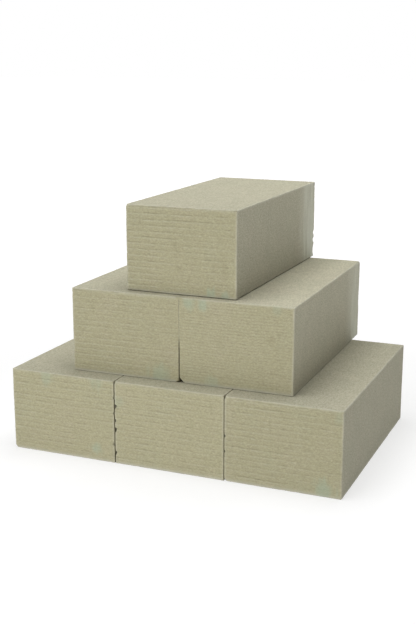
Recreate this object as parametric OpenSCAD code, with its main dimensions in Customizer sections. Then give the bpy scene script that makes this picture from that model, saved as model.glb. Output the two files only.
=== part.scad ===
// Stepped stack of loose floral foam bricks.
// Each brick is one rigid block of dry phenolic foam, sawn to the florist's standard size, 230 by 110 by 80 mm
// give or take a millimetre.
// Nothing joins the bricks: they lie on and beside each other and are taken off by hand.
// Frame: +Z up, end faces looking to -Y, origin at the centre of the bottom middle brick's underside.

/* [Brick] */
// Width of a brick, across its end face
brick_width = 110; // [90:1:130]
// Length of a brick, from end face to end face
brick_length = 230; // [180:1:260]
// Height of a brick
brick_height = 81; // [60:1:100]
// Width of the crushed easing along every edge
edge_ease = 1.2; // [0.4:0.1:2.5]

/* [Stack] */
// Gap between two bricks that lie side by side
seam_gap = 0.6; // [0.3:0.1:2]
// How far the middle tier is shifted across the stack
middle_across = 1; // [-8:0.5:8]
// How far the middle tier is set back from the bottom tier
middle_back = 20.5; // [0:0.5:40]
// How far the middle tier is turned, in degrees
middle_turn = 0.6; // [-3:0.1:3]
// How far the top brick is shifted across the stack
top_across = 0.5; // [-12:0.5:12]
// How far the top brick is set back from the bottom tier
top_back = 29.5; // [10:0.5:60]
// How far the top brick is turned, in degrees
top_turn = -0.2; // [-3:0.1:3]

/* [Wear] */
// Depth of a light corner chip, along the corner's diagonal
light_chip = 0.8; // [0.4:0.1:2]
// Depth of a heavy corner chip, along the corner's diagonal
heavy_chip = 2.2; // [1:0.1:5]

/* [Hidden] */

foam = [0.66, 0.64, 0.53];
row_pitch = brick_width + seam_gap;
half_pitch = row_pitch / 2;

// The eight corners, named by the side they are on: left or right, front or back, low or high.
left = -1;
right = 1;
front = -1;
back = 1;
low = -1;
high = 1;

// A rectangle a wide and b high whose corners are cut off by e each way.
module eased_rectangle(a, b, e) {
    polygon([
        [-a / 2 + e, -b / 2], [a / 2 - e, -b / 2],
        [a / 2, -b / 2 + e], [a / 2, b / 2 - e],
        [a / 2 - e, b / 2], [-a / 2 + e, b / 2],
        [-a / 2, b / 2 - e], [-a / 2, -b / 2 + e],
    ]);
}

// A block whose twelve edges are eased, centred on the origin.
module eased_block() {
    intersection() {
        linear_extrude(brick_height, center = true)
            eased_rectangle(brick_width, brick_length, edge_ease);
        rotate([90, 0, 0])
            linear_extrude(brick_length, center = true)
                eased_rectangle(brick_width, brick_height, edge_ease);
        rotate([90, 0, 90])
            linear_extrude(brick_width, center = true)
                eased_rectangle(brick_length, brick_height, edge_ease);
    }
}

// What a chip takes off one corner: a cube whose flat face cuts squarely across the corner's diagonal.
// A chip is [side across, side along, side up, depth], and its depth is past the eased corner.
module corner_chip(chip) {
    reach = brick_height / 2;
    polar = acos(chip[2] / sqrt(3));
    around = atan2(chip[1], chip[0]);
    eased_depth = edge_ease * sqrt(3) / 2;
    translate([chip[0] * brick_width / 2, chip[1] * brick_length / 2, chip[2] * brick_height / 2])
        rotate([0, polar, around])
            translate([-reach / 2, -reach / 2, -eased_depth - chip[3]])
                cube(reach);
}

// One brick, standing on the origin's plane with its underside centred on the origin.
module brick(chips) {
    color(foam)
        translate([0, 0, brick_height / 2])
            difference() {
                eased_block();
                for (chip = chips) corner_chip(chip);
            }
}

// The middle tier's and the top brick's places on the tier below.
module on_middle_tier() {
    translate([middle_across, middle_back, brick_height]) rotate([0, 0, middle_turn]) children();
}

module on_top_tier() {
    translate([top_across, top_back, 2 * brick_height]) rotate([0, 0, top_turn]) children();
}

module bottom_left_brick() {
    translate([-row_pitch, 0, 0])
        brick([
            [left, front, low, light_chip],
            [right, front, high, light_chip],
            [left, back, high, light_chip],
        ]);
}

module bottom_middle_brick() {
    brick([
        [left, front, high, light_chip],
        [right, back, low, light_chip],
    ]);
}

module bottom_right_brick() {
    translate([row_pitch, 0, 0])
        brick([
            [left, front, high, light_chip],
            [left, front, low, light_chip],
            [left, back, high, heavy_chip],
        ]);
}

module middle_left_brick() {
    on_middle_tier()
        translate([-half_pitch, 0, 0])
            brick([
                [right, front, low, light_chip],
                [left, back, high, light_chip],
            ]);
}

module middle_right_brick() {
    on_middle_tier()
        translate([half_pitch, 0, 0])
            brick([
                [left, front, low, heavy_chip],
                [right, back, high, light_chip],
            ]);
}

module top_brick() {
    on_top_tier()
        brick([
            [left, front, high, light_chip],
            [left, back, low, light_chip],
        ]);
}

bottom_left_brick();
bottom_middle_brick();
bottom_right_brick();
middle_left_brick();
middle_right_brick();
top_brick();
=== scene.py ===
"""Looks for a stepped stack of six loose dry floral foam bricks.

Each brick is one closed mesh that stands for its CAD node: a fine grid over the block, shaped by sawing,
handling and wear. Shapes are worked out in millimetres in the brick's own frame, whose origin is the
brick's centre, x across the end face, y along the brick and z up. Everything else is in metres.
"""

import math

import bpy
import numpy as np
from mathutils import Matrix, Vector


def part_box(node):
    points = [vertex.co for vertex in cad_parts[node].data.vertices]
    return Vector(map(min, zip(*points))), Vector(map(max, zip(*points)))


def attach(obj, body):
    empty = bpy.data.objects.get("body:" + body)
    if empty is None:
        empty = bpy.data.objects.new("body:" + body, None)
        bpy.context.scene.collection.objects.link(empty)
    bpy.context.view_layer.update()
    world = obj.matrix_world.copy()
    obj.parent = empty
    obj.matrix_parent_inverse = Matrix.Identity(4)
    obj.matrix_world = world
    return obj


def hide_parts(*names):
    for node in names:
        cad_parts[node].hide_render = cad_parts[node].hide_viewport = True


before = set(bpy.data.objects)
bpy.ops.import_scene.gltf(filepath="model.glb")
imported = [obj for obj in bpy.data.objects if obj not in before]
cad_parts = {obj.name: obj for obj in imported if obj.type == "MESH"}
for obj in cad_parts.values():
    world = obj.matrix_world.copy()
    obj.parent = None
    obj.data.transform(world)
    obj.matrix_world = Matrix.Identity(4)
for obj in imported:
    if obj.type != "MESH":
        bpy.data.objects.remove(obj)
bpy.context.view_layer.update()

MM = 0.001


# ---------------------------------------------------------------- noise

HASH_PRIMES = (73856093, 19349663, 83492791)
SEED_PRIME = 2654435761
MIXING_PRIME = 1274126177
OCTAVE_SHARE = 0.55  # how strong each octave is against the one before
OCTAVE_SEED_STEP = 17
ENDLESS = 900  # lumps so long that the noise hardly changes along that axis


def lattice(cells, seed):
    """A fixed number from 0 to 1 for each whole-number cell."""
    mixed = (cells * np.array(HASH_PRIMES, np.int64)).sum(-1) + seed * SEED_PRIME
    mixed = (mixed ^ (mixed >> 13)) & 0xFFFFFFFF
    mixed = (mixed * MIXING_PRIME) & 0xFFFFFFFF
    mixed = (mixed ^ (mixed >> 16)) & 0xFFFFFF
    return mixed / 0xFFFFFF


def noise(points, lump, seed):
    """Smooth noise from -1 to 1 at each point, with lumps of size lump, which is a number or one per axis."""
    scaled = points / np.asarray(lump, float)
    cells = np.floor(scaled).astype(np.int64)
    part = scaled - cells
    part = part * part * (3 - 2 * part)
    total = np.zeros(len(points))
    for corner in np.ndindex(2, 2, 2):
        weight = np.where(corner, part, 1 - part).prod(-1)
        total += weight * lattice(cells + np.array(corner), seed)
    return 2 * total - 1


def rough(points, lump, seed, octaves=3):
    """Noise with finer and finer lumps on top, from about -1 to 1."""
    total, size = np.zeros(len(points)), 0.0
    for octave in range(octaves):
        share, finer = OCTAVE_SHARE ** octave, np.asarray(lump, float) / 2 ** octave
        total += share * noise(points, finer, seed + OCTAVE_SEED_STEP * octave)
        size += share
    return total / size


def ramp(value, start, end):
    """0 before start and 1 after end, with a smooth rise between."""
    t = np.clip((value - start) / (end - start), 0, 1)
    return t * t * (3 - 2 * t)


# ---------------------------------------------------------------- the block's grid

# Steps along x, y and z, and how much they crowd towards the edges.
GRID = ((126, 0.50), (104, 0.80), (158, 0.30))


def grid_lines(half, count, crowding):
    """count steps from -half to half, closer together towards both ends as crowding goes from 0 to 1."""
    s = np.linspace(-1, 1, count + 1)
    return half * ((1 - crowding) * s + crowding * np.sin(s * math.pi / 2))


def block_grid(half):
    """The points and outward-facing quads of a closed block whose faces are cut into a fine grid."""
    lines = [grid_lines(reach, *steps) for reach, steps in zip(half, GRID)]
    last = [len(line) - 1 for line in lines]
    quads = []
    for axis in range(3):
        across, along = (axis + 1) % 3, (axis + 2) % 3
        i, j = (g.ravel() for g in np.meshgrid(range(last[across]), range(last[along]), indexing="ij"))
        for far in (0, 1):
            corners = np.zeros((i.size, 4, 3), np.int64)
            corners[..., axis] = far * last[axis]
            around = [(0, 0), (1, 0), (1, 1), (0, 1)]
            for n, (di, dj) in enumerate(around if far else around[::-1]):
                corners[:, n, across] = i + di
                corners[:, n, along] = j + dj
            quads.append(corners)
    quads = np.concatenate(quads)
    strides = np.array([(last[1] + 1) * (last[2] + 1), last[2] + 1, 1])
    used, faces = np.unique(quads @ strides, return_inverse=True)
    cells = np.stack([used // strides[0], used // strides[1] % (last[1] + 1), used % strides[1]], -1)
    points = np.stack([lines[axis][cells[:, axis]] for axis in range(3)], -1)
    return points, faces.reshape(-1, 4)


# ---------------------------------------------------------------- what each brick is like

LEFT, RIGHT = -1, 1

# Each brick's looks. The marks are on its front end, placed in mm across and up from the end's middle.
#   seed         where its noise starts: every noise adds a number of its own to it
#   tone_and_light brightness of its sawn ends and of its skin: its own, partly painted light and shade
#   saw          distance between saw lines, and their depth
#   beside       the sides that have a neighbour
#   closed_seam  the side that touches its neighbour near the top, or 0
#   snug         how far the sides beside a neighbour stand out towards it, in mm
#   foot         how round its bottom edges are, against its other edges
#   edge_chips   (side, z, size, depth) bites out of the front end's upright edges
#   back_chips   (z, size, depth) bites out of the far right upright edge
#   strokes      (x, z, x, z, width, depth) from end to end of a scratch
#   scuffs       (x, z, size) patches of crushed cells
#   dyes         (x, z, size, strength) patches of leaked dye
#   back_light   how pale the far end of the right side is, as painted light, and how far it reaches
PLAIN = dict(closed_seam=0, snug=0.0, foot=1.0, edge_chips=[], back_chips=[], back_light=(0.0, 30))
BRICKS = {
    "bottom_left_brick": dict(
        PLAIN, seed=11, tone_and_light=(1.02, 1.00), saw=(5.6, 0.27), beside=(RIGHT,),
        edge_chips=[(RIGHT, -22, 2.4, 1.6), (RIGHT, 9, 2.0, 1.3), (RIGHT, 24, 1.8, 1.2)],
        strokes=[(-44, 20, -43, 12, 0.9, 0.20), (12, -8, 13, -17, 0.8, 0.15)],
        scuffs=[(45, -2, 9), (-28, 14, 6)],
        dyes=[(-17, 36, 9, 0.6), (37, 37, 9, 0.5), (35, -29, 8, 0.9)],
    ),
    "bottom_middle_brick": dict(
        PLAIN, seed=23, tone_and_light=(1.02, 1.00), saw=(5.6, 0.25), beside=(LEFT, RIGHT),
        edge_chips=[
            (LEFT, 16, 2.6, 1.8), (LEFT, 2, 2.0, 1.4), (LEFT, -7, 2.8, 2.0), (LEFT, -30, 2.0, 1.3),
        ],
        strokes=[(24, 14, 25, 5, 0.9, 0.20), (43, 31, 43, 22, 0.8, 0.20), (35, -22, 46, -27, 0.9, 0.15)],
        scuffs=[(26, -10, 6), (-20, 24, 8), (12, 25, 7)],
        dyes=[(-52, 20, 7, 0.4)],
    ),
    "bottom_right_brick": dict(
        PLAIN, seed=37, tone_and_light=(0.975, 0.97), saw=(5.6, 0.25), beside=(LEFT,), snug=0.45,
        edge_chips=[(LEFT, 3, 1.8, 1.0), (LEFT, -12, 1.6, 0.8)],
        strokes=[(-12, 22, -11, 13, 0.9, 0.20), (20, 3, 27, 1, 0.9, 0.20)],
        scuffs=[(8, -14, 7), (-34, 8, 6)],
        dyes=[(38, -34, 12, 0.9), (52, 34, 9, 0.4)],
    ),
    "middle_left_brick": dict(
        PLAIN, seed=41, tone_and_light=(0.985, 1.01), saw=(5.6, 0.30), beside=(RIGHT,), closed_seam=RIGHT, foot=0.45,
        strokes=[(-33, 26, -32, 17, 0.9, 0.20), (2, -12, 2, -20, 0.8, 0.18)],
        scuffs=[(-6, 18, 8), (40, -18, 9)],
        dyes=[(36, -35, 13, 0.7)],
    ),
    "middle_right_brick": dict(
        PLAIN, seed=53, tone_and_light=(1.00, 1.07), saw=(2.8, 0.24), beside=(LEFT,), closed_seam=LEFT, foot=0.45,
        strokes=[
            (31, 14, 29, 6, 0.9, 0.30), (35, 13, 31, 5, 0.9, 0.30), (36, 9, 30, 8, 0.9, 0.25),
            (33, -21, 42, -23, 1.0, 0.30), (40, 18, 41, 10, 0.8, 0.20),
        ],
        scuffs=[(32, 9, 6), (-2, 5, 14)],
        dyes=[(-44, 36, 8, 0.9), (-32, 35, 8, 0.9), (-22, -37, 8, 0.5), (38, 37, 6, 0.4)],
        back_light=(0.70, 60),
    ),
    "top_brick": dict(
        PLAIN, seed=67, tone_and_light=(0.975, 0.99), saw=(5.6, 0.36), beside=(), foot=1.5,
        back_chips=[(-14, 2.6, 1.5), (-22, 3.0, 1.9), (-33, 6.0, 0.9)],
        strokes=[
            (-5, 8, -5, 1, 0.9, 0.35), (-1, 4, -3, -2, 0.9, 0.35), (-3, -14, 1, -18, 0.9, 0.30),
            (1, -14, -3, -18, 0.9, 0.30), (42, -9, 42, -19, 0.8, 0.30), (44, -8, 44, -24, 0.8, 0.35),
            (46, -10, 46, -21, 0.8, 0.30), (-41, 30, -41, 22, 0.9, 0.25), (8, -22, 8, -33, 0.8, 0.20),
        ],
        scuffs=[(-1, -16, 5), (20, 0, 8)],
        dyes=[(30, -36, 6, 0.9), (44, -38, 5, 0.9)],
        back_light=(0.90, 62),
    ),
}


# ---------------------------------------------------------------- where the CAD bricks are

def placed(node):
    """Where a brick is: its centre, and its turn about the upright, read off its CAD node's front face."""
    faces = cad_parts[node].data.polygons
    front = max(faces, key=lambda face: -face.normal.y * face.area)
    turn = math.atan2(front.normal.x, -front.normal.y)
    low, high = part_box(node)
    return Matrix.Translation((low + high) / 2) @ Matrix.Rotation(turn, 4, "Z")


def chip_planes(node, place):
    """The CAD node's corner chips as (outward direction, distance from the brick's centre in mm)."""
    least_slant = 0.45  # a chip's face looks more than this much along each axis
    inverse = place.inverted()
    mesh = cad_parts[node].data
    planes = {}
    for face in mesh.polygons:
        direction = inverse.to_3x3() @ face.normal
        if min(abs(c) for c in direction) > least_slant:
            corner = tuple(int(math.copysign(1, c)) for c in direction)
            on_face = inverse @ mesh.vertices[face.vertices[0]].co
            planes[corner] = (direction, direction.dot(on_face) / MM)
    return [(np.array(direction), distance) for direction, distance in planes.values()]


# ---------------------------------------------------------------- a brick's surface

# Sizes in mm. A depth is how far below the block's true face the foam lies.
EDGE_RADIUS, RADIUS_CHANGE, LEAST_RADIUS = 0.80, 0.30, 0.08
SEAM_SHARPNESS = 0.55  # how much less round the edges beside a neighbour are
CLOSED_SHARPNESS = 0.8  # and how much less again where the two touch
TOUCH = 0.29  # how far a side that touches its neighbour stands out past the true face
SEAM_GAPE = 0.12  # how much deeper the foot of a closed seam is
LEAST_DEPTH = 0.01  # keeps bricks that lie on each other from meeting
SINK = 0.08  # how deep the foam lies all over
SWELL, FUZZ = 0.06, 0.03  # its slow and its fine unevenness
SAW_DASH = 0.06  # short dashes between the saw lines
SIDE_STREAK = 0.08  # streaks along the sides
SKIN_GRAIN = 0.05  # grain of the faces that aren't sawn
PIT_SPACING, PIT_SIZE, PIT_DEPTH = 9, 0.7, 0.45
PIT_SCARCITY = 0.55  # the share of patches that have no pit
# The third reach is how far from an edge the painted shade in gaps goes.
RUB_REACH, CRUMBLE_REACH, CREVICE_SHADE_REACH = 2.6, 1.6, 2.5  # how far from an edge each goes
CRUMBLE, SCUFF, SCORE = 0.7, 0.30, 0.50  # depths of crumbled edges, scuffs and the scored far end
CHIP_JAG = 0.25  # unevenness of a corner chip


def closed_at(points, half, look):
    """1 where a side touches its neighbour, which is near the top of a closed seam, and 0 elsewhere."""
    return ramp(look["closed_seam"] * points[:, 0], half[0] - 4, half[0] - 2) * ramp(points[:, 2], -8, 6)


def beside_at(look, across, start, end):
    """On the sides that have a neighbour, 0 before across is start and 1 after end; 0 on the others."""
    return sum(ramp(side * across, start, end) for side in look["beside"])


def rounded(points, half, look):
    """Every edge rolled to a small uneven radius: the points, the way out, and how close an edge is."""
    x, _, z = points.T
    radius = EDGE_RADIUS + RADIUS_CHANGE * rough(points, 16, look["seed"], 4)
    radius *= 1 + (look["foot"] - 1) * ramp(z, -half[2] + 4, -half[2] + 2)
    radius *= 1 - SEAM_SHARPNESS * beside_at(look, x, half[0] - 4, half[0] - 2)
    radius *= 1 - CLOSED_SHARPNESS * closed_at(points, half, look)
    radius = np.maximum(radius, LEAST_RADIUS)[:, None]
    inner = np.clip(points, -half + radius, half - radius)
    outward = points - inner
    outward /= np.linalg.norm(outward, axis=1, keepdims=True)
    to_edge = np.sort(half - np.abs(points), axis=1)[:, 1]
    return inner + outward * radius, outward, to_edge


def saw_lines(points, look):
    """How deep in a saw line each point of an end face is: 1 in a line, below 0 on the burr under it."""
    seed, (x, _, z) = look["seed"], points.T
    pitch, _ = look["saw"]
    burr_drop = 1.4  # how far under its line a burr is
    burr_height, weak_line = 0.60, 0.50  # against the depth of a strong line
    wander = 0.6 * noise(points, (60, ENDLESS, 40), seed + 3)
    wander += 0.22 * noise(points, (9, ENDLESS, 6), seed + 4)
    turns = (z + wander) / pitch
    strong = np.cos(math.pi * turns) ** 18
    burr = np.cos(math.pi * (turns + burr_drop / pitch)) ** 12
    weak = np.cos(2 * math.pi * turns) ** 10
    broken = noise(points, (4, ENDLESS, 2.8), seed + 5)
    patch = 0.65 + 0.30 * noise(points, (34, ENDLESS, 20), seed + 6) - 0.25 * ramp(x, -30, 50)
    strength = np.clip(patch + 0.55 * broken, 0, 1.3)
    return (strong - burr_height * burr) * strength + weak_line * weak * np.clip(broken + 0.3, 0, 1)


def pits(points, seed):
    """1 in the middle of scattered small pits, at most one to each square patch of an end face."""
    flat = points[:, [0, 2]] / PIT_SPACING
    cells = np.floor(flat).astype(np.int64)
    cells = np.stack([cells[:, 0], np.sign(points[:, 1]).astype(np.int64), cells[:, 1]], -1)
    margin = 0.15  # keeps each pit inside its patch
    middle = np.stack([lattice(cells, seed), lattice(cells, seed + 1)], -1) * (1 - 2 * margin) + margin
    away = np.linalg.norm(flat - cells[:, [0, 2]] - middle, axis=1) * PIT_SPACING
    return np.exp(-(away / PIT_SIZE) ** 2) * (lattice(cells, seed + 2) > PIT_SCARCITY)


def bump_at(points, place, size, seed):
    """1 in the middle of an uneven ball at place, and 0 outside it."""
    jagged = size * (1 + 0.35 * noise(points, 1.5, seed))
    return ramp(np.linalg.norm(points - np.array(place), axis=1) / jagged, 1.0, 0.35)


def stroke_at(across, up, ends, width):
    """1 along the middle of a stroke on the end face, fading to 0 beside it."""
    x0, z0, x1, z1 = ends
    run, rise = x1 - x0, z1 - z0
    along = np.clip(((across - x0) * run + (up - z0) * rise) / (run * run + rise * rise), 0, 1)
    away = np.hypot(across - x0 - along * run, up - z0 - along * rise)
    return np.exp(-(away / width) ** 2)


def sawn_and_skin(points, look, sawn, side):
    """The foam as it was cut: its depth, and how deep in a saw line or a pit each point is."""
    seed, (x, _, z) = look["seed"], points.T
    depth = SINK + SWELL * noise(points, 70, seed + 20) + FUZZ * rough(points, 2.2, seed + 21)
    depth += SEAM_GAPE * side * (look["closed_seam"] * x > 0) * ramp(z, -5, -40)
    depth += SIDE_STREAK * rough(points, (ENDLESS, 60, 1.6), seed + 24, 2) * side
    depth += SKIN_GRAIN * rough(points, 2.4, seed + 33, 2) * (1 - sawn)

    lines = saw_lines(points, look) * sawn
    dash = noise(points, (2.4, ENDLESS, 1.05), seed + 22) * sawn
    pitted = pits(points, seed + 23) * sawn
    depth += look["saw"][1] * lines + SAW_DASH * dash + PIT_DEPTH * pitted
    return depth, lines + 0.20 * dash + 0.8 * pitted


def edge_wear_light_and_shade(points, half, look, outward, to_edge):
    """Each point's rubbing and painted light near edges, painted shade in gaps, and crumbled depth."""
    seed, (x, _, z) = look["seed"], points.T
    hidden = beside_at(look, x, half[0] - 1.2, half[0] - 0.2)
    # A paler band along each edge: partly rubbed dust, partly painted highlight where the edges catch light.
    wear_and_painted_light = ramp(to_edge, RUB_REACH, 0.4) * (0.65 + 0.5 * rough(points, 6, seed + 25))
    wear_and_painted_light *= 1 - 0.85 * hidden
    # A paler band along the foot of each brick: painted light that thins the shade where it stands on what is
    # below.
    wear_and_painted_light += 0.60 * ramp(z, -half[2] + 5, -half[2] + 0.5) * (1 - hidden)

    # Painted shade in the gaps: dark near the edges of undersides and of sides facing a neighbour, less where
    # they touch.
    under = ramp(-outward[:, 2], 0.35, 0.8)
    inside = 0.55 * beside_at(look, outward[:, 0], 0.2, 0.9)
    crevice_shade = np.maximum(under, inside) * ramp(to_edge, CREVICE_SHADE_REACH, 1.0)
    crevice_shade *= 1 - closed_at(points, half, look)
    wear_and_painted_light *= (1 - crevice_shade) * (1 - ramp(look["closed_seam"] * x, half[0] - 4, half[0] - 1.5))

    crumbs = np.clip(rough(points, (2.4, 5.5, 2.4), seed + 26) - 0.22, 0, 1)
    return wear_and_painted_light, crevice_shade, CRUMBLE * crumbs * ramp(to_edge, CRUMBLE_REACH, 0.2)


def front_marks(points, look, front):
    """The scratches and scuffs on the front end: their depth, and how strongly each point is scratched."""
    x, _, z = points.T
    depth, scratched = np.zeros(len(points)), np.zeros(len(points))
    for *ends, width, deep in look["strokes"]:
        mark = stroke_at(x, z, ends, width) * front
        depth += deep * mark
        scratched += mark
    for across, up, size in look["scuffs"]:
        near = np.exp(-((x - across) ** 2 + (z - up) ** 2) / size ** 2) * front
        depth += SCUFF * near * np.clip(rough(points, 2.4, look["seed"] + 27, 2) + 0.1, 0, 1)
    return depth, scratched


def scored_back_lit_end(points, half, look, side):
    """The scored far end of the right side: its depth, and how pale each point is, as painted back light."""
    x, y, z = points.T
    back_light, reach = look["back_light"]
    scored = rough(points, (ENDLESS, 5.0, 30), look["seed"] + 28, 2)
    # Paler towards the far end and the bottom: painted light from behind and below on the overhanging end;
    # the scoring is real.
    back_lit = back_light * ramp(y, half[1] - reach, half[1] - 0.3 * reach) * side * (x > 0)
    back_lit *= (1 + 0.5 * ramp(z, half[2], -half[2])) * (1 + 0.55 * scored)
    return SCORE * np.clip(scored + 0.2, 0, 1) * back_lit, back_lit


def edge_bites(points, half, look):
    """How deep the bites out of the upright edges are."""
    depth = np.zeros(len(points))
    for side, up, size, deep in look["edge_chips"]:
        depth += deep * bump_at(points, (side * half[0], -half[1], up), size, look["seed"] + 29)
    for up, size, deep in look["back_chips"]:
        depth += deep * bump_at(points, (half[0], half[1], up), size, look["seed"] + 30)
    return depth


def dye_stains(points, look, front):
    """How strongly the front end is stained by leaked dye."""
    x, _, z = points.T
    dye = np.zeros(len(points))
    for across, up, size, strength in look["dyes"]:
        away = np.hypot(x - across, z - up) / size
        away += 0.6 * rough(points, (3, ENDLESS, 12), look["seed"] + 32, 2)
        dye = np.maximum(dye, strength * ramp(away, 1.1, 0.2) * front)
    return dye


def shape(points, half, look, chips):
    """The brick's surface in mm, and masks for its colours, each with a value for every point."""
    x, y, _ = points.T
    shaped, outward, to_edge = rounded(points, half, look)
    sawn, side = outward[:, 1] ** 2, outward[:, 0] ** 2
    front = sawn * (y < 0)

    cut_depth, groove_light_and_shade = sawn_and_skin(points, look, sawn, side)
    wear_and_painted_light, crevice_shade, crumbled = edge_wear_light_and_shade(points, half, look, outward, to_edge)
    mark_depth, scratched = front_marks(points, look, front)
    score_depth, back_lit = scored_back_lit_end(points, half, look, side)
    depth = cut_depth + crumbled + mark_depth + score_depth + edge_bites(points, half, look)
    depth = np.maximum(depth, LEAST_DEPTH - sawn)

    touching = closed_at(points, half, look) * side
    shaped = shaped - outward * (depth * (1 - touching))[:, None]
    shaped[:, 0] += look["closed_seam"] * TOUCH * touching
    shaped[:, 0] += look["snug"] * sum(beside * side * (beside * x > 0) for beside in look["beside"])

    # Corner chips, broken off a little unevenly.
    for direction, distance in chips:
        over = shaped @ direction - distance + CHIP_JAG * rough(points, 2, look["seed"] + 31, 2)
        shaped = shaped - direction * np.maximum(over, 0)[:, None]

    # Masks for colours; the saw-line, edge, far-end and gap masks carry painted light and shade.
    masks = {
        "sawn": sawn, "wear_and_painted_light": wear_and_painted_light, "back_light": back_lit, "crevice_shade": crevice_shade,
        "dye": dye_stains(points, look, front),
        "groove_light_and_shade": np.clip(groove_light_and_shade + 0.8 * scratched, -0.8, 1.4),
    }
    return shaped, masks


def in_scene(name, data):
    """A new object in the scene."""
    made = bpy.data.objects.new(name, data)
    bpy.context.scene.collection.objects.link(made)
    return made


def foam_brick(node):
    """One brick's mesh, with its masks as point attributes, riding on its body."""
    low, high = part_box("bottom_middle_brick")
    half = np.array((high - low) / 2) / MM
    place = placed(node)
    points, faces = block_grid(half)
    shaped, masks = shape(points, half, BRICKS[node], chip_planes(node, place))

    mesh = bpy.data.meshes.new("foam_" + node)
    mesh.from_pydata(shaped * MM, [], faces)
    mesh.polygons.foreach_set("use_smooth", np.ones(len(faces), bool))
    for name, values in masks.items():
        mesh.attributes.new(name, "FLOAT", "POINT").data.foreach_set("value", values.astype(np.float32))
    mesh.update()

    brick = in_scene("foam_" + node, mesh)
    brick.matrix_world = place
    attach(brick, node.removesuffix("_brick"))
    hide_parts(node)
    return brick


# ---------------------------------------------------------------- material

class Nodes:
    """Short ways to add and link shader nodes."""

    def __init__(self, tree):
        self.tree = tree
        tree.nodes.clear()

    def add(self, kind, **settings):
        node = self.tree.nodes.new(kind)
        for name, value in settings.items():
            setattr(node, name, value)
        return node

    def link(self, source, target):
        self.tree.links.new(source, target)

    def fill(self, socket, value):
        """Links a socket, or sets its value."""
        if isinstance(value, bpy.types.NodeSocket):
            self.link(value, socket)
        else:
            socket.default_value = value

    def math(self, operation, a, b=0.0, clamp=False):
        node = self.add("ShaderNodeMath", operation=operation, use_clamp=clamp)
        self.fill(node.inputs[0], a)
        self.fill(node.inputs[1], b)
        return node.outputs[0]

    def noise(self, where, scale, detail=2.0, roughness=0.5):
        node = self.add("ShaderNodeTexNoise")
        self.link(where, node.inputs["Vector"])
        node.inputs["Scale"].default_value = scale
        node.inputs["Detail"].default_value = detail
        node.inputs["Roughness"].default_value = roughness
        return node.outputs["Fac"]

    def between(self, value, low, high, to_low=0.0, to_high=1.0):
        node = self.add("ShaderNodeMapRange")
        self.link(value, node.inputs["Value"])
        limits = {"From Min": low, "From Max": high, "To Min": to_low, "To Max": to_high}
        for name, number in limits.items():
            node.inputs[name].default_value = number
        return node.outputs["Result"]

    def mix(self, factor, a, b, blend="MIX"):
        node = self.add("ShaderNodeMix", data_type="RGBA", blend_type=blend)
        self.fill(node.inputs["Factor"], factor)
        for socket, value in zip((node.inputs[6], node.inputs[7]), (a, b)):
            self.fill(socket, value if isinstance(value, bpy.types.NodeSocket) else (*value, 1.0))
        return node.outputs[2]

    def moved(self, coordinates, offset, scale=(1, 1, 1)):
        node = self.add("ShaderNodeMapping")
        self.link(coordinates, node.inputs["Vector"])
        node.inputs["Location"].default_value = offset
        node.inputs["Scale"].default_value = scale
        return node.outputs["Vector"]

    def shaded(self, colour, texture, amount):
        """A colour made up to amount darker and lighter by a texture around 0.5."""
        return self.mix(1.0, colour, self.between(texture, 0, 1, 1 - amount, 1 + amount), "MULTIPLY")

    def mask(self, name):
        return self.add("ShaderNodeAttribute", attribute_name=name).outputs["Fac"]

    def principled(self, **values):
        """A Principled shader with some inputs set, each named with _ for a space."""
        shader = self.add("ShaderNodeBsdfPrincipled")
        for name, value in values.items():
            self.fill(shader.inputs[name.replace("_", " ")], value)
        return shader.outputs["BSDF"]

    def finish(self, shader, kind="ShaderNodeOutputMaterial"):
        self.link(shader, self.add(kind).inputs["Surface"])


SKIN = (0.440, 0.421, 0.317)
SAWN = (0.402, 0.376, 0.242)
# Dust on rubbed edges, also painted highlight on edges and on the burrs under saw lines.
DUST_AND_HIGHLIGHT = (0.560, 0.545, 0.450)
# Painted light on the far end of the right side.
BACK_LIGHT_PALE = (0.640, 0.650, 0.540)
# Painted shade in the hollows of saw lines, pits, scratches and pores.
RECESS_SHADE = (0.250, 0.235, 0.150)
# Painted shade in the gaps under and between the bricks.
CREVICE_SHADE = (0.100, 0.092, 0.040)
GREEN_DYE = (0.330, 0.440, 0.340)
WARM = (0.480, 0.420, 0.330)
COOL = (0.400, 0.420, 0.300)

# The masks' tints, from the first laid on to the last: the mask, how strongly it tints, and its colour.
# Several of these tints are painted light and shade, as noted at each.
TINTS = (
    # Painted shade in saw lines, pits and scratches, then painted highlight on the burrs under the lines.
    ("groove_light_and_shade", 0.22, RECESS_SHADE),
    ("groove_light_and_shade", -0.35, DUST_AND_HIGHLIGHT),
    # Rubbed dust with painted highlight on the edges, and painted light along the foot.
    ("wear_and_painted_light", 0.50, DUST_AND_HIGHLIGHT),
    # Painted light on the far end of the right side, from behind and below.
    ("back_light", 0.55, BACK_LIGHT_PALE),
    ("dye", 0.42, GREEN_DYE),
    # Painted shade in the gaps under and between the bricks.
    ("crevice_shade", 0.90, CREVICE_SHADE),
)

PORES_PER_METRE = 1400
BLOTCH, PORE_SHADE = 0.14, 0.14
SKIN_MOTTLE, SKIN_SPECKLE = 0.10, 0.68
CUT_MOTTLE, CUT_GRAIN, CUT_DASHES = 0.03, 0.30, 0.40


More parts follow.
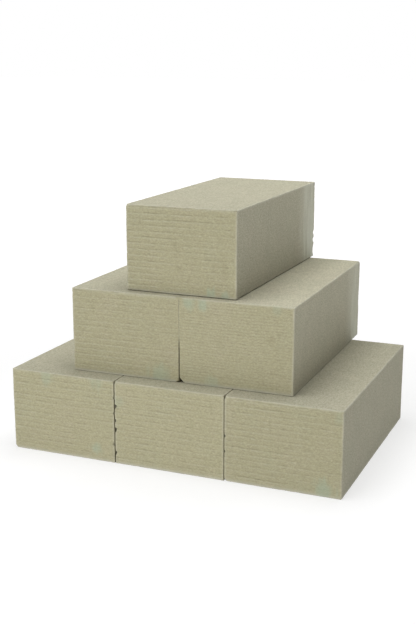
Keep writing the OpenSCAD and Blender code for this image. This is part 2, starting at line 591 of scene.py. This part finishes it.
def foam_colour(n, look, coordinates, where, pore):
    """Broad warmer and greener patches, then mottling, grain and painted pore shade, then the masks' tints.
    """
    seed, (cut_tone_and_light, skin_tone_and_light) = look["seed"], look["tone_and_light"]
    along_brick = n.moved(coordinates, (seed * 0.41, seed * 0.13, seed * 0.19), (1, 0.4, 1))
    along_saw = n.moved(coordinates, (seed * 0.11, seed * 0.37, seed * 0.29), (0.30, 0.30, 1))
    sawn = n.mask("sawn")

    # Ends and skin per brick: partly their own brightness, partly painted light and shade, as on the top
    # brick's darker ends.
    base = n.mix(sawn, [skin_tone_and_light * c for c in SKIN], [cut_tone_and_light * c for c in SAWN])
    blotch = n.noise(where, 28, 3, 0.55)
    base = n.mix(n.between(blotch, 0.52, 0.72, 0, BLOTCH), base, WARM)
    base = n.mix(n.between(blotch, 0.48, 0.28, 0, BLOTCH), base, COOL)

    mottle, grain = n.noise(where, 60, 3, 0.6), n.noise(where, 600, 3, 0.7)
    speckle, dashes = n.noise(along_brick, 800, 3, 0.8), n.noise(along_saw, 1300, 2, 0.7)
    skin = n.shaded(n.shaded(base, mottle, SKIN_MOTTLE), speckle, SKIN_SPECKLE)
    cut = n.shaded(n.shaded(n.shaded(base, mottle, CUT_MOTTLE), grain, CUT_GRAIN), dashes, CUT_DASHES)
    base = n.mix(sawn, skin, cut)

    # Painted shade in the hollows of the foam's cells.
    base = n.mix(n.math("MULTIPLY", pore, PORE_SHADE), base, RECESS_SHADE)
    for mask, strength, tint in TINTS:
        base = n.mix(n.math("MULTIPLY", n.mask(mask), strength, clamp=True), base, tint)
    return base


def foam_material(node, look):
    """Powdery closed-celled dry foam, yellower where sawn, paler where rubbed, with painted light and shade.
    """
    seed = look["seed"]
    material = bpy.data.materials.new("dry_foam_" + node)
    material.use_nodes = True
    n = Nodes(material.node_tree)
    coordinates = n.add("ShaderNodeTexCoord").outputs["Object"]
    where = n.moved(coordinates, (seed * 0.31, seed * 0.17, seed * 0.23))

    cells = n.add("ShaderNodeTexVoronoi", feature="F1")
    n.link(where, cells.inputs["Vector"])
    cells.inputs["Scale"].default_value = PORES_PER_METRE
    pore = n.between(cells.outputs["Distance"], 0.15, 0.6)

    bump = n.add("ShaderNodeBump")
    bump.inputs["Strength"].default_value = 0.35
    bump.inputs["Distance"].default_value = 0.15 * MM
    n.link(
        n.math("SUBTRACT", n.noise(where, 900, 3, 0.65), n.math("MULTIPLY", pore, 0.6)),
        bump.inputs["Height"],
    )
    n.finish(n.principled(
        Base_Color=foam_colour(n, look, coordinates, where, pore),
        Roughness=n.between(pore, 0, 1, 0.90, 0.98),
        Normal=bump.outputs["Normal"],
        Specular_IOR_Level=0.15,
        Sheen_Weight=0.06,
        Sheen_Roughness=0.6,
    ))
    return material


# ---------------------------------------------------------------- studio

WHITE = (1, 1, 1, 1)
STACK_MIDDLE = (0, 0.02, 0.12)
SKY_LIGHT, SKY_SEEN = 0.05, 1.0  # how bright the surround is as a light, and to the camera
FLOOR_REACH = 12.0
FLOOR_GREY = (0.40, 0.40, 0.40, 1)
FLOOR_GLOW_FROM, FLOOR_GLOW_TO = 0.35, 1.3  # distances from the stack between which the floor turns white
FLOOR_GLOW_NEAR, FLOOR_GLOW_FAR = 0.63, 1.0


def soft_box(name, place, size, power):
    """A square area light at place, facing the stack."""
    light = bpy.data.lights.new(name, "AREA")
    light.shape = "SQUARE"
    light.size = size
    light.energy = power
    lamp = in_scene(name, light)
    lamp.location = place
    lamp.rotation_euler = (Vector(STACK_MIDDLE) - Vector(place)).to_track_quat("-Z", "Y").to_euler()
    lamp.visible_camera = False


def far_panel(name, towards, power):
    """A wide soft light far off in one direction, as a sun with a large disc."""
    light = bpy.data.lights.new(name, "SUN")
    light.angle = math.radians(50)
    light.energy = power
    in_scene(name, light).rotation_euler = Vector(towards).to_track_quat("Z", "Y").to_euler()


def white_surround():
    """A surround that is white to look at and gives a little even light."""
    world = bpy.data.worlds.new("surround")
    bpy.context.scene.world = world
    world.use_nodes = True
    n = Nodes(world.node_tree)
    surround = n.add("ShaderNodeBackground")
    surround.inputs["Color"].default_value = WHITE
    seen = n.add("ShaderNodeLightPath").outputs["Is Camera Ray"]
    n.link(n.between(seen, 0, 1, SKY_LIGHT, SKY_SEEN), surround.inputs["Strength"])
    n.finish(surround.outputs[0], "ShaderNodeOutputWorld")


def pale_floor():
    """A wide pale floor whose far parts are lit as white as the surround."""
    mesh = bpy.data.meshes.new("floor")
    corners = [(x * FLOOR_REACH, y * FLOOR_REACH, 0) for x, y in ((-1, -1), (1, -1), (1, 1), (-1, 1))]
    mesh.from_pydata(corners, [], [(0, 1, 2, 3)])
    floor = in_scene("floor", mesh)
    pale = bpy.data.materials.new("pale_floor")
    pale.use_nodes = True
    n = Nodes(pale.node_tree)
    distance = n.add("ShaderNodeVectorMath", operation="LENGTH")
    n.link(n.add("ShaderNodeTexCoord").outputs["Object"], distance.inputs[0])
    n.finish(n.principled(
        Base_Color=FLOOR_GREY,
        Roughness=1.0,
        Specular_IOR_Level=0.0,
        Emission_Color=WHITE,
        Emission_Strength=n.between(
            distance.outputs["Value"], FLOOR_GLOW_FROM, FLOOR_GLOW_TO, FLOOR_GLOW_NEAR, FLOOR_GLOW_FAR,
        ),
    ))
    mesh.materials.append(pale)


def studio():
    """A plain pale floor, a white surround and large soft lights."""
    bpy.context.scene.view_settings.view_transform = "Standard"
    white_surround()
    pale_floor()
    soft_box("overhead", (0.0, 0.1, 1.1), 0.8, 9.4)
    soft_box("low_front", (-0.1, -0.8, 0.1), 0.4, 2.4)
    soft_box("right", (1.0, 0.1, 0.5), 0.8, 1.0)
    far_panel("front_left", (-1, -1, 1.4), 1.00)


def camera():
    """The camera, to the right of the end faces and a little above the stack."""
    lens = bpy.data.cameras.new("camera")
    lens.sensor_width = 36.0
    lens.lens = 61.27
    eye = in_scene("camera", lens)
    azimuth, elevation, roll = (math.radians(a) for a in (22.65, 13.86, 0.05))
    eye.location = (0.3884, -0.9509, 0.3800)
    upright = Matrix.Rotation(azimuth, 4, "Z") @ Matrix.Rotation(math.pi / 2 - elevation, 4, "X")
    eye.rotation_euler = (upright @ Matrix.Rotation(roll, 4, "Z")).to_euler()
    bpy.context.scene.camera = eye


camera()
studio()
for brick_name, brick_look in BRICKS.items():
    piece = foam_brick(brick_name)
    piece.data.materials.append(foam_material(brick_name, brick_look))
